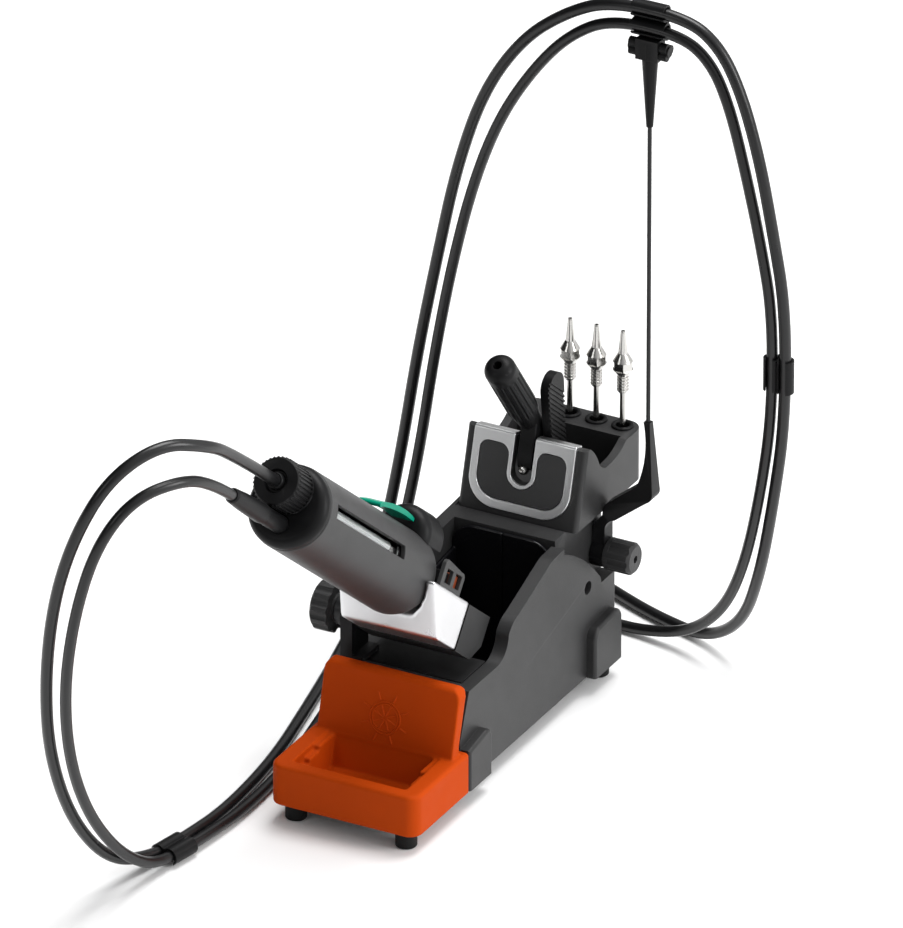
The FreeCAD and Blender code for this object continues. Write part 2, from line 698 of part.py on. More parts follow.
def make_left_knob():
    face, thick = size("left_knob_face"), size("left_knob_thick")
    turn = Rotation(Vector(0, 1, 0), -90)
    body = new_body("left_knob", STAND * Placement(Vector(face, PIVOT.y, PIVOT.z), turn))
    radius = size("left_knob_radius")
    revolve(body, [(0.0, 8.6), (size("axle_radius") + size("running_gap"), 8.6),
                   (size("axle_radius") + size("running_gap"), 0.0), (7.0, 0.0), (7.0, 1.2), (radius, 1.2),
                   (radius, thick - 1.2), (radius - 1.2, thick), (0.0, thick)])
    scallop_plane = drawing(body, "XY", thick + 0.1)
    circle(scallop_plane, radius + 1.9, 0.0, 3.0)
    scallop = pocket(body, scallop_plane, thick + 1.0)
    repeat_round(body, scallop, scallop_plane, 12)
    tube_along_x("knob_washer", 7.5, size("axle_radius") + size("running_gap"), face + 0.3, -33.5, PIVOT)


def make_rear_knob():
    face = size("rear_knob_face")
    turn = Rotation(Vector(0, 1, 0), 90)
    body = new_body("rear_knob", STAND * Placement(Vector(face, size("arm_y"), size("arm_z")), turn))
    radius, reach = size("rear_knob_radius"), size("rear_knob_long")
    bore = 3.0 + size("running_gap")
    revolve(body, [(0.0, 10.0), (bore, 10.0), (bore, 0.0), (radius, 0.0), (radius, reach - 1.4),
                   (radius - 1.4, reach), (0.0, reach)])
    flute_plane = drawing(body, "XY", reach + 0.1)
    circle(flute_plane, radius + 3.4, 0.0, 4.0)
    flute = pocket(body, flute_plane, reach - 2.0)
    repeat_round(body, flute, flute_plane, 8)
    key = drawing(body, "XY", reach + 0.1)
    outline(key, cap_ring(6, 1.9))
    pocket(body, key, 3.0)
    stud_centre = Vector(0, size("arm_y"), size("arm_z"))
    tube_along_x("arm_stud", 3.0, 0.0, HALF_BASE - 16.0, face + 9.4, stud_centre)


def make_arm():
    body = new_body("hose_arm")
    y, z = size("arm_y"), size("arm_z")
    front = drawing(body, "XZ", -y - 4.0)
    outline(front, [
        (26.0, z - 4.0), (32.4, z - 4.0), (32.4, 76.0), (37.4, 81.8, 33.6, 79.4), (53.6, 94.6),
        (56.4, 99.6, 55.9, 96.8), (53.9, 134.2), (50.7, 134.2), (48.4, 101.8, 49.4, 104.6), (32.6, 89.0),
        (31.2, 83.4, 31.5, 86.2), (26.0, 76.5),
    ])
    pad(body, front, 8.0)
    boss = drawing(body, "YZ", 26.0)
    circle(boss, y, z, 6.9)
    pad(body, boss, 6.4)
    bore = drawing(body, "YZ")
    circle(bore, y, z, 3.0 + size("running_gap"))
    pocket(body, bore, 90.0, symmetric=True)
    socket = drawing(body, "XY", 134.3)
    circle(socket, size("rod_x"), y, size("rod_radius") + 0.02)
    pocket(body, socket, 134.3 - size("rod_bottom"))
    sides = drawing(body, "YZ", 70.0)
    for edge, out in ((y - 4.0, -1), (y + 4.0, 1)):
        outline(sides, [(edge + out, 98.0), (edge, 98.0), (edge - out * 2.4, 134.4), (edge + out, 134.4)])
    pocket(body, sides, 25.0)


def make_rod():
    rod = doc.addObject("Part::Cylinder", "hose_rod")
    rod.Label = "hose_rod"
    rod.setExpression("Radius", "Sizes.rod_radius")
    rod.setExpression("Height", "Sizes.rod_top - Sizes.rod_bottom")
    rod.Placement = STAND * Placement(Vector(size("rod_x"), size("arm_y"), size("rod_bottom")), Rotation())
    pieces["hose_rod"] = rod


def make_rod_head():
    x, y, top = size("rod_x"), size("arm_y"), size("head_top")
    body = new_body("rod_head", STAND * Placement(Vector(x, y, 0), Rotation()))
    bore = size("rod_radius") + 0.02
    revolve(body, [(0.0, size("rod_top")), (bore, size("rod_top")), (bore, 283.0), (1.6, 283.0), (3.9, top - 8),
                   (3.9, top - 2), (0.0, top - 2)])
    block = drawing(body, "XY", top - 10.0)
    outline(block, rectangle(-5.6, 5.6, -3.8, 3.8))
    pad(body, block, 10.0)
    cross = drawing(body, "YZ")
    circle(cross, 0.0, top - 5.0, 1.5 + size("running_gap"))
    pocket(body, cross, 30.0, symmetric=True)


def make_thumbscrews():
    for name, side in (("thumbscrew_left", -1), ("thumbscrew_right", 1)):
        turn = Rotation(Vector(0, 1, 0), 90 * side)
        start = Vector(size("rod_x") + side * 5.9, size("arm_y"), size("head_top") - 5.0)
        body = new_body(name, STAND * Placement(start, turn))
        grip = drawing(body, "XY")
        for number in range(3):
            angle = math.radians(90 + 120 * number)
            circle_centre = (2.3 * math.cos(angle), 2.3 * math.sin(angle))
            lobe = drawing(body, "XY")
            circle(lobe, circle_centre[0], circle_centre[1], 2.3)
            pad(body, lobe, 3.6)
        circle(grip, 0.0, 0.0, 2.6)
        pad(body, grip, 4.2)
        shank = drawing(body, "XY", -4.6)
        circle(shank, 0.0, 0.0, 1.5)
        pad(body, shank, 5.0)


def make_clip(name, place, centres, length, opening, web):
    """Clip whose bores run along its Z axis; opening is the side that the cord is pressed in from."""
    body = new_body(name, place)
    radius, bore = size("clip_radius"), size("clip_bore")
    for x, y in centres:
        ring = drawing(body, "XY")
        circle(ring, x, y, radius)
        pad(body, ring, length, symmetric=True)
    joint = drawing(body, "XY")
    outline(joint, web)
    pad(body, joint, length, symmetric=True)
    for x, y in centres:
        hole = drawing(body, "XY")
        circle(hole, x, y, bore)
        pocket(body, hole, length + 2, symmetric=True)
        mouth = drawing(body, "XY")
        reach = opening * (radius + 1)
        outline(mouth, rectangle(x - 1.9, x + 1.9, min(y, y + reach), max(y, y + reach)))
        pocket(body, mouth, length + 2, symmetric=True)


def make_clips():
    x, y = size("rod_x"), size("arm_y")
    along_x = Rotation(Vector(0, 0, 1), Vector(0, -1, 0), Vector(1, 0, 0), "XYZ")
    low, high = size("cable_top_z"), size("hose_top_z")
    middle = (low + high) / 2
    span = (high - low) / 2
    foot = size("head_top") - middle + 0.1
    top_place = STAND * Placement(Vector(x, y, middle), along_x)
    make_clip("top_clip", top_place, [(-span, 0.0), (span, 0.0)], 16.7, 1,
              rectangle(foot, span - 3.3, -2.4, -0.4))
    right_place = STAND * Placement(Vector(118.1, y, 174.0), Rotation())
    make_clip("right_clip", right_place, [(-3.3, 0.0), (3.3, 0.0)], 16.0, -1, rectangle(-0.5, 0.5, 2.5, 3.2))
    floor_place = STAND * Placement(Vector(-58.0, -50.0, 4.15), floor_clip_turn())
    make_clip("floor_clip", floor_place, [(-3.3, 0.0), (3.3, 0.0)], 15.0, 1, rectangle(-0.5, 0.5, -3.2, -2.5))


def floor_clip_turn():
    along = Vector(FLOOR_CLIP_RUN)
    across = Vector(along.y, -along.x, 0)
    return Rotation(across, Vector(0, 0, 1), along, "XZY")


# ---------------------------------------------------------------- hose and cable

# Both cords in the stand's own frame: out of the iron, over the front in a loop to the floor clip,
# back along the floor, up in the arch, down through the right clip and in behind the base.
FLOOR_CLIP_RUN = (0.19, 0.982, 0.0)
HOSE_ROUTE = [
    (0.0, -61.4, 209.5), (0.0, -102.8, 242.4), (1.0, -126.0, 256.5), (-10.0, -147.0, 264.0),
    (-24.0, -167.0, 253.0), (-37.0, -175.0, 226.0), (-51.0, -170.0, 188.0), (-62.0, -159.0, 141.0),
    (-70.0, -142.0, 93.0), (-73.0, -117.0, 47.0), (-70.0, -89.0, 14.0), (-64.0, -63.2, 4.15),
    (-59.0, -37.6, 4.15), (-56.5, -5.0, 2.9), (-60.0, 45.0, 2.9), (-70.0, 95.0, 2.9),
    (-81.0, 145.0, 2.9), (-87.0, 180.0, 10.0), (-84.0, 196.0, 42.0), (-75.0, 197.0, 90.0),
    (-67.0, 197.0, 140.0), (-57.0, 197.0, 190.0), (-47.0, 197.0, 238.0), (-33.0, 196.5, 280.0),
    (-13.0, 196.0, 311.0), (10.0, 195.0, 330.0), (33.0, 194.3, 341.0), (71.0, 194.3, 341.0),
    (87.0, 194.3, 331.0), (98.0, 194.3, 311.0), (107.5, 194.3, 280.0), (114.5, 194.3, 245.0),
    (121.4, 194.3, 207.0), (121.4, 194.3, 150.0), (114.0, 198.0, 106.0), (102.0, 209.0, 62.0),
    (84.0, 227.0, 24.0), (58.0, 242.0, 2.9), (30.0, 249.0, 2.9), (2.0, 261.0, 2.9), (-22.0, 273.0, 2.9),
]
CABLE_ROUTE = [
    (0.0, -100.7, 220.15), (0.0, -116.0, 232.3), (-3.0, -137.0, 244.0), (-16.0, -160.0, 242.0),
    (-29.0, -171.0, 220.0), (-42.0, -168.0, 181.0), (-53.0, -158.0, 137.0), (-60.0, -142.0, 94.0),
    (-63.0, -121.0, 56.0), (-62.5, -97.0, 26.0), (-59.5, -78.0, 10.0), (-57.0, -59.8, 4.15),
    (-52.2, -35.0, 4.15), (-49.0, -2.0, 2.9), (-52.0, 47.0, 2.9), (-61.0, 97.0, 2.9),
    (-71.0, 145.0, 2.9), (-78.0, 180.0, 10.0), (-75.5, 196.0, 42.0), (-66.0, 197.0, 90.0),
    (-58.5, 197.0, 140.0), (-49.0, 197.0, 190.0), (-38.0, 197.0, 234.0), (-24.0, 196.0, 270.0),
    (-6.0, 195.5, 299.0), (12.0, 194.6, 319.5), (33.0, 194.3, 332.0), (68.0, 194.3, 332.0),
    (83.0, 194.3, 322.0), (92.5, 194.3, 302.0), (101.0, 194.3, 270.0), (108.8, 194.3, 236.0),
    (114.8, 194.3, 203.0), (114.8, 194.3, 152.0), (108.0, 197.0, 110.0), (96.0, 206.0, 68.0),
    (79.0, 219.0, 34.0), (56.0, 230.0, 11.0), (30.0, 234.0, 2.9), (4.0, 235.0, 2.9), (-18.0, 236.0, 2.9),
]


def clip_run_points(route, index, side):
    """Puts the two points of the run through the floor clip exactly on that bore's line."""
    along = Vector(FLOOR_CLIP_RUN).normalize()
    across = Vector(along.y, -along.x, 0)
    centre = Vector(-58.0, -50.0, 4.15) + across * (side * 3.3)
    for place, reach in ((index, -12.6), (index + 1, 12.6)):
        point = centre + along * reach
        route[place] = (point.x, point.y, point.z)


def rounded_wire(route):
    """Straight runs joined by tangent arcs, as wide as the runs allow. Prints the arcs' radii."""
    points = [Vector(*point) for point in route]
    edges = []
    radii = []
    start = points[0]
    for before, corner, after in zip(points, points[1:], points[2:]):
        run_in = (corner - before).Length
        run_out = (after - corner).Length
        back = (before - corner).normalize()
        ahead = (after - corner).normalize()
        trim = 0.45 * min(run_in, run_out)
        half_turn = (math.pi - back.getAngle(ahead)) / 2
        radius = trim / math.tan(half_turn)
        radii.append(radius)
        first = corner + back * trim
        last = corner + ahead * trim
        bisector = (back + ahead).normalize()
        middle = corner + bisector * (radius / math.cos(half_turn) - radius)
        edges.append(Part.LineSegment(start, first).toShape())
        edges.append(Part.Arc(first, middle, last).toShape())
        start = last
    edges.append(Part.LineSegment(start, points[-1]).toShape())
    print("arc radii:", " ".join(f"{radius:.0f}" for radius in radii))
    return Part.Wire(edges)


def make_cord(name, wire, radius):
    first = wire.Edges[0]
    start = first.Vertexes[0].Point
    direction = first.tangentAt(first.FirstParameter)
    section = Part.Wire(Part.makeCircle(radius, start, direction))
    solid = wire.makePipeShell([section], True, False)
    ideal = math.pi * radius ** 2 * wire.Length
    print(f"{name}: length {wire.Length:.1f} mm, volume / section x length = {solid.Volume / ideal:.4f}")
    feature = doc.addObject("Part::Feature", name)
    feature.Label = name
    feature.Shape = solid
    feature.Placement = STAND
    pieces[name] = feature


def split_route(wire, distance, gap):
    """The part of a wire before a distance along its first straight run, and the part after it."""
    first = wire.Edges[0]
    start = first.Vertexes[0].Point
    direction = first.tangentAt(first.FirstParameter)
    stub = Part.Wire([Part.LineSegment(start, start + direction * distance).toShape()])
    rest_start = start + direction * (distance + gap)
    rest = Part.Wire([Part.LineSegment(rest_start, first.Vertexes[1].Point).toShape()] + wire.Edges[1:])
    return stub, rest


def make_cords():
    radius = size("cord_radius")
    clip_run_points(HOSE_ROUTE, 11, -1)
    clip_run_points(CABLE_ROUTE, 11, 1)
    hose = rounded_wire(HOSE_ROUTE)
    stub, rest = split_route(hose, 39.0, 1.2)
    make_cord("hose_first_stretch", stub, radius)
    make_cord("vacuum_hose", rest, radius)
    cable = rounded_wire(CABLE_ROUTE)
    make_cord("iron_cable", split_route(cable, 1.5, 0.0)[1], radius)


def make_cord_ends():
    hose_end = end_frame(HOSE_ROUTE)
    fitting = new_body("hose_fitting", STAND * hose_end)
    revolve(fitting, [(0.0, 0.0), (2.85, 0.0), (2.85, 6.0), (2.4, 6.5), (2.4, 8.0), (2.85, 8.5), (2.85, 14.0),
                      (1.6, 14.6), (1.6, 24.0), (2.1, 25.0), (1.4, 27.0), (0.0, 27.0)])
    cable_end = end_frame(CABLE_ROUTE)
    plug = new_body("cable_plug", STAND * cable_end)
    revolve(plug, [(0.0, 0.0), (2.85, 0.0), (2.85, 12.0), (2.85, 30.0), (2.5, 30.5), (2.5, 38.0), (0.0, 38.0)])


def end_frame(route):
    """Frame at a route's end with Z running on along the cord."""
    last, before = Vector(*route[-1]), Vector(*route[-2])
    return Placement(last, Rotation(Vector(0, 0, 1), last - before))


make_base_plate()
make_feet()
make_foot_screws()
make_base_shell()
make_ballast()
make_liner("liner_left", -1)
make_liner("liner_right", 1)
make_bracket()
make_tray()
make_holder()
make_front_plate()
make_grommets()
make_tips()
make_tool_a()
make_tool_b()
make_cradle()
make_contacts()
make_handle()
make_rear_cap()
make_screw_cap()
make_relief()
make_glass()
make_hood()
make_trigger()
make_nose()
make_left_knob()
make_rear_knob()
make_arm()
make_rod()
make_rod_head()
make_thumbscrews()
make_clips()
make_cords()
make_cord_ends()
doc.recompute()

failed = [item.Label for item in doc.Objects if {"Invalid", "Error"} & set(item.State)]
if failed:
    raise RuntimeError(f"objects that did not recompute: {failed}")
os.makedirs("parts", exist_ok=True)
whole = FreeCAD.BoundBox()
for name, piece in pieces.items():
    if piece.Shape.isNull() or not piece.Shape.isValid():
        raise RuntimeError(f"{name} has no valid shape")
    whole.add(piece.Shape.BoundBox)
    piece.Shape.exportStep(f"parts/{name}.step")
print(f"{len(pieces)} nodes, box {whole}")
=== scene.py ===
import json
import math

import bmesh
import bpy
from mathutils import Matrix, Vector


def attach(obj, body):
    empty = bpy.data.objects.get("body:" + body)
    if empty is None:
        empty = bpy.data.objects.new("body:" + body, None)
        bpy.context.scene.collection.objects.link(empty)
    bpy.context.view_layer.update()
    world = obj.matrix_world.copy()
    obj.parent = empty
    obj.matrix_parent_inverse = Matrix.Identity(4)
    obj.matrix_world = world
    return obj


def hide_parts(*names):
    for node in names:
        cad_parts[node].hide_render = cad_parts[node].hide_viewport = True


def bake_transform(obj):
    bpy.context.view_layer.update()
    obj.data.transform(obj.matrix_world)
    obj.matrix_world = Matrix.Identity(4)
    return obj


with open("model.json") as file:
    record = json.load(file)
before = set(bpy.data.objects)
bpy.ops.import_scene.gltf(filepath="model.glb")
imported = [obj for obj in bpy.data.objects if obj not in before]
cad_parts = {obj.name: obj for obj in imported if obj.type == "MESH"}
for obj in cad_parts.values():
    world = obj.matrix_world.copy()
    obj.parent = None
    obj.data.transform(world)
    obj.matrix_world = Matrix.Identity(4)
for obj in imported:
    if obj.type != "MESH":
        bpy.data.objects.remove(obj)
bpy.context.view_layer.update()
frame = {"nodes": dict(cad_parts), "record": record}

# The stand's own frame is in millimetres: X right, Y back from the tray's front, Z up from the bench.
# The row frame is the same, moved so that its origin is under the middle of the object, in metres.
STAND_CENTRE = Vector((7.4, 65.22, 0.0))
IRON_LEAN = math.radians(51.5)
SEAM = Vector((0.0, -48.0, 190.0))


def row(point):
    return (Vector(point) - STAND_CENTRE) / 1000


def on_iron(across, up, back):
    """A row-frame point given in the iron's own frame, millimetres from its rear seam."""
    turn = Matrix.Rotation(IRON_LEAN, 3, "X")
    return row(SEAM + turn @ Vector((across, up, back)))


# ---------------------------------------------------------------- camera

CAMERA_AZIMUTH = math.radians(28.1)
CAMERA_ELEVATION = math.radians(27.55)
CAMERA_DISTANCE = 8.93
CAMERA_TARGET = row((14.55, 76.7, 157.45))
CAMERA_LENS = 775.9
SENSOR_WIDTH = 36.0
CLIP_END = 60.0


def make_camera():
    back = Vector((
        math.sin(CAMERA_AZIMUTH) * math.cos(CAMERA_ELEVATION),
        -math.cos(CAMERA_AZIMUTH) * math.cos(CAMERA_ELEVATION),
        math.sin(CAMERA_ELEVATION),
    ))
    data = bpy.data.cameras.new("camera")
    data.sensor_width = SENSOR_WIDTH
    data.lens = CAMERA_LENS
    data.clip_end = CLIP_END
    camera = bpy.data.objects.new("camera", data)
    camera.location = CAMERA_TARGET + back * CAMERA_DISTANCE
    camera.rotation_euler = (-back).to_track_quat("-Z", "Y").to_euler()
    bpy.context.scene.collection.objects.link(camera)
    bpy.context.scene.camera = camera


# ---------------------------------------------------------------- materials

MOTTLE_MM = 22.0                # size of the slow changes of colour
SMUDGE_MM = 9.0                 # size of the changes of gloss
EDGE_HIGHLIGHT_FROM, EDGE_HIGHLIGHT_TO = 0.53, 0.66  # pointiness at which the painted edge highlight begins, and is at full strength
# how much the painted edge highlight multiplies the colour by, and what it adds to it
EDGE_HIGHLIGHT_GAIN, EDGE_HIGHLIGHT_LIFT = 2.2, 0.03
GRAIN_DEPTH = 0.0002


def ramp(tree, source, low, high):
    """Maps 0..1 of a value to low..high."""
    node = tree.nodes.new("ShaderNodeMapRange")
    node.inputs["To Min"].default_value = low
    node.inputs["To Max"].default_value = high
    tree.links.new(source, node.inputs["Value"])
    return node.outputs["Result"]


def noise(tree, coordinates, size_mm, detail=3.0, stretch=(1.0, 1.0, 1.0)):
    """Noise whose features are about that many millimetres across."""
    mapping = tree.nodes.new("ShaderNodeMapping")
    mapping.inputs["Scale"].default_value = stretch
    tree.links.new(coordinates, mapping.inputs["Vector"])
    node = tree.nodes.new("ShaderNodeTexNoise")
    node.inputs["Scale"].default_value = 1000.0 / size_mm
    node.inputs["Detail"].default_value = detail
    tree.links.new(mapping.outputs["Vector"], node.inputs["Vector"])
    return node.outputs["Fac"]


def material(name, colour, roughness, metallic=0.0, grain_mm=0.4, grain=0.1, mottle=0.15, smudge=0.12,
             edge_highlight=0.0, stretch=(1.0, 1.0, 1.0), sockets=None):
    """A surface with slow colour variation, smudged gloss, fine grain and a painted highlight that lightens
    its sharp edges.
    """
    result = bpy.data.materials.new(name)
    result.use_nodes = True
    tree = result.node_tree
    shader = tree.nodes["Principled BSDF"]
    coordinates = tree.nodes.new("ShaderNodeTexCoord").outputs["Object"]
    slow = noise(tree, coordinates, MOTTLE_MM, 4.0)
    shade = tree.nodes.new("ShaderNodeMix")
    shade.data_type = "RGBA"
    shade.inputs["A"].default_value = [channel * (1 - mottle) for channel in colour] + [1]
    shade.inputs["B"].default_value = [min(1.0, channel * (1 + mottle)) for channel in colour] + [1]
    tree.links.new(slow, shade.inputs["Factor"])
    surface = shade.outputs["Result"]
    # Painted highlight: sharp convex edges, found by pointiness, are made lighter to stand in for light
    # caught along them.
    if edge_highlight:
        geometry = tree.nodes.new("ShaderNodeNewGeometry")
        edge_highlight_amount = tree.nodes.new("ShaderNodeMapRange")
        edge_highlight_amount.inputs["From Min"].default_value = EDGE_HIGHLIGHT_FROM
        edge_highlight_amount.inputs["From Max"].default_value = EDGE_HIGHLIGHT_TO
        edge_highlight_amount.inputs["To Max"].default_value = edge_highlight
        tree.links.new(geometry.outputs["Pointiness"], edge_highlight_amount.inputs["Value"])
        edge_highlight_mix = tree.nodes.new("ShaderNodeMix")
        edge_highlight_mix.data_type = "RGBA"
        light = [min(1.0, channel * EDGE_HIGHLIGHT_GAIN + EDGE_HIGHLIGHT_LIFT) for channel in colour]
        edge_highlight_mix.inputs["B"].default_value = light + [1]
        tree.links.new(edge_highlight_amount.outputs["Result"], edge_highlight_mix.inputs["Factor"])
        tree.links.new(surface, edge_highlight_mix.inputs["A"])
        surface = edge_highlight_mix.outputs["Result"]
    tree.links.new(surface, shader.inputs["Base Color"])
    gloss = noise(tree, coordinates, SMUDGE_MM, 5.0, stretch)
    rough = ramp(tree, gloss, roughness * (1 - smudge), roughness * (1 + smudge))
    tree.links.new(rough, shader.inputs["Roughness"])
    shader.inputs["Metallic"].default_value = metallic
    bump = tree.nodes.new("ShaderNodeBump")
    bump.inputs["Strength"].default_value = grain
    bump.inputs["Distance"].default_value = GRAIN_DEPTH
    tree.links.new(noise(tree, coordinates, grain_mm, 2.0, stretch), bump.inputs["Height"])
    tree.links.new(bump.outputs["Normal"], shader.inputs["Normal"])
    for socket, value in (sockets or {}).items():
        shader.inputs[socket].default_value = value
    return result


SATIN = {"Specular IOR Level": 0.28}
MATT = {"Specular IOR Level": 0.14}
BRUSHED = (0.05, 1.0, 1.0)      # the trim is brushed along X
# The edge_highlight value of a finish is the strength of the painted highlight along its sharp edges.
FINISHES = {
    "shell_plastic": dict(
        colour=(0.024, 0.024, 0.0245), roughness=0.42, grain_mm=0.45, grain=0.45, edge_highlight=0.3, sockets=SATIN),
    "gloss_black": dict(
        colour=(0.005, 0.005, 0.006), roughness=0.2, grain_mm=3.0, grain=0.03, smudge=0.4, sockets=SATIN),
    "orange_silicone": dict(
        colour=(0.43, 0.048, 0.002), roughness=0.6, grain_mm=0.5, grain=0.14, mottle=0.05, smudge=0.15,
        edge_highlight=0.12, sockets={"Specular IOR Level": 0.05}),
    "handle_plastic": dict(
        colour=(0.03, 0.03, 0.0305), roughness=0.42, grain_mm=0.35, grain=0.3, edge_highlight=0.2, sockets=SATIN),
    "soft_black": dict(
        colour=(0.006, 0.006, 0.0064), roughness=0.4, grain_mm=0.4, grain=0.2, edge_highlight=0.35, sockets=MATT),
    "feet_rubber": dict(colour=(0.009, 0.009, 0.009), roughness=0.6, grain_mm=0.4, grain=0.3, sockets=MATT),
    "teal_plastic": dict(
        colour=(0.0, 0.25, 0.155), roughness=0.35, grain_mm=0.4, grain=0.08, mottle=0.05, sockets=MATT),
    "cast_aluminium": dict(
        colour=(0.7, 0.7, 0.71), roughness=0.3, metallic=1.0, grain_mm=0.9, grain=0.05, mottle=0.03,
        smudge=0.25),
    "trim_aluminium": dict(
        colour=(0.7, 0.705, 0.71), roughness=0.3, metallic=1.0, grain_mm=0.25, grain=0.18, mottle=0.04,
        stretch=BRUSHED),
    "steel": dict(
        colour=(0.5, 0.5, 0.5), roughness=0.33, metallic=1.0, grain_mm=0.3, grain=0.1, mottle=0.05),
    "bright_steel": dict(
        colour=(0.56, 0.55, 0.53), roughness=0.16, metallic=1.0, grain_mm=0.3, grain=0.1, mottle=0.12,
        edge_highlight=0.5, stretch=(1.0, 1.0, 6.0)),
    "black_steel": dict(
        colour=(0.01, 0.01, 0.011), roughness=0.38, metallic=0.3, grain_mm=0.4, grain=0.1),
    "glass": dict(
        colour=(0.93, 0.96, 0.96), roughness=0.04, grain_mm=4.0, grain=0.02, mottle=0.02,
        sockets={"Transmission Weight": 1.0, "IOR": 1.47}),
    "filter_cotton": dict(
        colour=(0.95, 0.95, 0.94), roughness=0.9, grain_mm=0.5, grain=0.8, mottle=0.05),
    "brown_resin": dict(
        colour=(0.25, 0.05, 0.016), roughness=0.35, grain_mm=0.6, grain=0.15, mottle=0.4),
    "insert_plastic": dict(
        colour=(0.036, 0.036, 0.037), roughness=0.5, grain_mm=0.35, grain=0.4, sockets=SATIN),
    "hose_rubber": dict(
        colour=(0.006, 0.006, 0.0065), roughness=0.3, grain_mm=0.8, grain=0.1, smudge=0.25,
        sockets={"Specular IOR Level": 0.4}),
}


def make_materials():
    return {name: material(name, **finish) for name, finish in FINISHES.items()}


# ---------------------------------------------------------------- pieces made from the CAD nodes

WELD_DISTANCE = 2e-6
FLAT_ENOUGH = math.radians(0.6)


def link(piece):
    bpy.context.scene.collection.objects.link(piece)
    return piece


def body_of_node(node):
    bodies = frame["record"]["behaviour"]["bodies"]
    return next(body for body, nodes in bodies.items() if node in nodes)


def slot_of_node(node):
    return next(part["material_slot"] for part in frame["record"]["subparts"] if part["node"] == node)


def clean_copy(node, join_faces=True):
    """An unlinked object with the node's mesh, its triangles joined into whole faces unless told not to."""
    mesh = bpy.data.meshes.new(node + "_finish")
    grid = bmesh.new()
    grid.from_mesh(frame["nodes"][node].data)
    bmesh.ops.remove_doubles(grid, verts=grid.verts, dist=WELD_DISTANCE)
    if join_faces:
        bmesh.ops.dissolve_limit(grid, angle_limit=FLAT_ENOUGH, verts=grid.verts, edges=grid.edges)
    bmesh.ops.recalc_face_normals(grid, faces=grid.faces)
    grid.to_mesh(mesh)
    grid.free()
    return bpy.data.objects.new(node + "_finish", mesh)


def settle(piece):
    """Applies the piece's modifiers to its mesh."""
    bpy.context.view_layer.update()
    graph = bpy.context.evaluated_depsgraph_get()
    mesh = bpy.data.meshes.new_from_object(piece.evaluated_get(graph))
    piece.modifiers.clear()
    piece.data = mesh
    return piece


def smooth_shade(piece, angle=32.0):
    for face in piece.data.polygons:
        face.use_smooth = True
    piece.data.set_sharp_from_angle(angle=math.radians(angle))


def adopt(piece, node, materials):
    """Gives a finished piece the node's material and body, in the node's place."""
    slot = slot_of_node(node)
    piece.data.materials.clear()
    piece.data.materials.append(materials[slot])
    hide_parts(node)
    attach(piece, body_of_node(node))


def softened(node, materials, width_mm, segments=3, angle=35.0):
    """The node with its hard edges rounded."""
    piece = link(clean_copy(node))
    bevel = piece.modifiers.new("edges", "BEVEL")
    bevel.width = width_mm / 1000
    bevel.segments = segments
    bevel.limit_method = "ANGLE"
    bevel.angle_limit = math.radians(angle)
    bevel.miter_outer = "MITER_ARC"
    normals = piece.modifiers.new("normals", "WEIGHTED_NORMAL")
    normals.keep_sharp = True
    smooth_shade(piece, 45.0)
    settle(piece)
    adopt(piece, node, materials)
    return piece


def cast(node, materials, voxel_mm, passes):
    """The node as a smooth casting or moulding: remeshed finely, then relaxed."""
    piece = link(clean_copy(node, join_faces=False))
    remesh = piece.modifiers.new("cells", "REMESH")
    remesh.mode = "VOXEL"
    remesh.voxel_size = voxel_mm / 1000
    remesh.use_smooth_shade = True
    relax = piece.modifiers.new("relax", "SMOOTH")
    relax.factor = 0.5
    relax.iterations = passes
    settle(piece)
    for face in piece.data.polygons:
        face.use_smooth = True
    adopt(piece, node, materials)
    return piece


# How far each node's edges are rounded, in millimetres.
ROUNDED = {
    "base_shell": 1.1, "holder_housing": 1.0, "cradle_bracket": 0.8, "liner_left": 0.6,
    "liner_right": 0.6, "base_plate": 0.3, "ballast_block": 0.5, "holder_trim_plate": 0.45,
    "holder_insert": 0.25,
    "cradle_core": 1.6, "contact_frame": 0.35, "contact_block": 0.3, "contact_stop": 0.3,
    "handle_shell": 0.35,
    "rear_cap": 0.4, "knurled_cap": 0.25, "hose_collar": 0.2, "strain_relief": 0.15, "nose_hood": 0.4,
    "nose_collar": 0.4, "trigger_lever": 0.7, "heater_barrel": 0.3, "iron_tip": 0.2, "left_knob": 0.5,
    "rear_knob": 0.4, "knob_washer": 0.4, "hose_arm": 0.8, "rod_head": 0.5, "thumbscrew_left": 0.3,
    "thumbscrew_right": 0.3, "top_clip": 0.25, "right_clip": 0.25, "floor_clip": 0.25,
    "hook_tool_handle": 0.3,
    "hook_tool_arm": 0.9, "flat_tool": 0.5, "foot_front_left": 0.4, "foot_front_right": 0.4,
    "foot_rear_left": 0.4, "foot_rear_right": 0.4, "foot_screws": 0.15, "tip_grommet_1": 0.2,
    "tip_grommet_2": 0.2, "tip_grommet_3": 0.2, "spare_tip_1": 0.12, "spare_tip_2": 0.12, "spare_tip_3": 0.12,
    "cable_plug": 0.4, "hose_fitting": 0.2, "arm_stud": 0.3, "cradle_axle": 0.3, "glass_seals": 0.3,
    "glass_tube": 0.2, "hose_rod": 0.1,
}
CAST_VOXEL_MM = 0.5
CAST_PASSES = {"cradle_shell": 60, "cleaning_tray": 14}


def make_hard_pieces(materials):
    for node, width in ROUNDED.items():
        softened(node, materials, width)
    for node, passes in CAST_PASSES.items():
        cast(node, materials, CAST_VOXEL_MM, passes)


def loose_piece(name, mesh, slot_name, body, materials):
    """A small detail of its own that rides with a body and stands for no node."""
    piece = link(bpy.data.objects.new(name, mesh))
    mesh.materials.append(materials[slot_name])
    smooth_shade(piece, 40.0)
    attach(piece, body)
    return piece


BEAD_SIDES = 8


